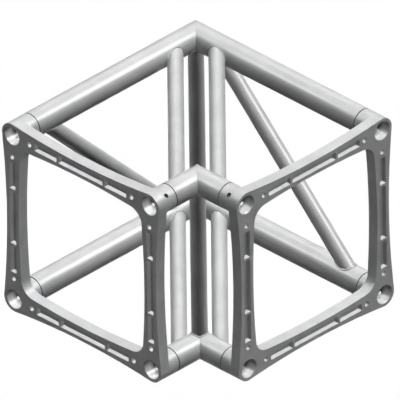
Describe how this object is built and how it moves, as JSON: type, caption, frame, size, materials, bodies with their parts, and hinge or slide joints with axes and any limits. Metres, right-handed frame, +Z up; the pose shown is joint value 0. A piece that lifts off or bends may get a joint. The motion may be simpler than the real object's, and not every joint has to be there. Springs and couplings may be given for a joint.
{
  "type": "truss corner",
  "caption": "Welded two-way corner of square box truss: cast end frames with coupler sockets, mitred chord tubes, corner posts and braces.",
  "frame": {"origin": "centre of the footprint, on the surface that the corner stands on", "axes": "+Z up; one arm ends at +X and the other at -Y; the back of the corner is at -X, +Y"},
  "size_m": [0.5, 0.5, 0.4],
  "materials": {
    "cast_aluminium": "satin, cast",
    "mill_aluminium": "mill finish, extruded"
  },
  "bodies": {
    "root": {"end_frame_x": "cast_aluminium", "end_frame_y": "cast_aluminium", "outer_top_chord_x": "mill_aluminium", "outer_top_chord_y": "mill_aluminium", "outer_bottom_chord_x": "mill_aluminium", "outer_bottom_chord_y": "mill_aluminium", "inner_top_chord_x": "mill_aluminium", "inner_top_chord_y": "mill_aluminium", "inner_bottom_chord_x": "mill_aluminium", "inner_bottom_chord_y": "mill_aluminium", "outer_corner_post": "mill_aluminium", "inner_corner_post": "mill_aluminium", "top_plan_brace_x": "mill_aluminium", "top_plan_brace_y": "mill_aluminium", "bottom_plan_brace_x": "mill_aluminium", "bottom_plan_brace_y": "mill_aluminium", "diagonal_brace_x": "mill_aluminium", "diagonal_brace_y": "mill_aluminium"}
  },
  "joints": []
}
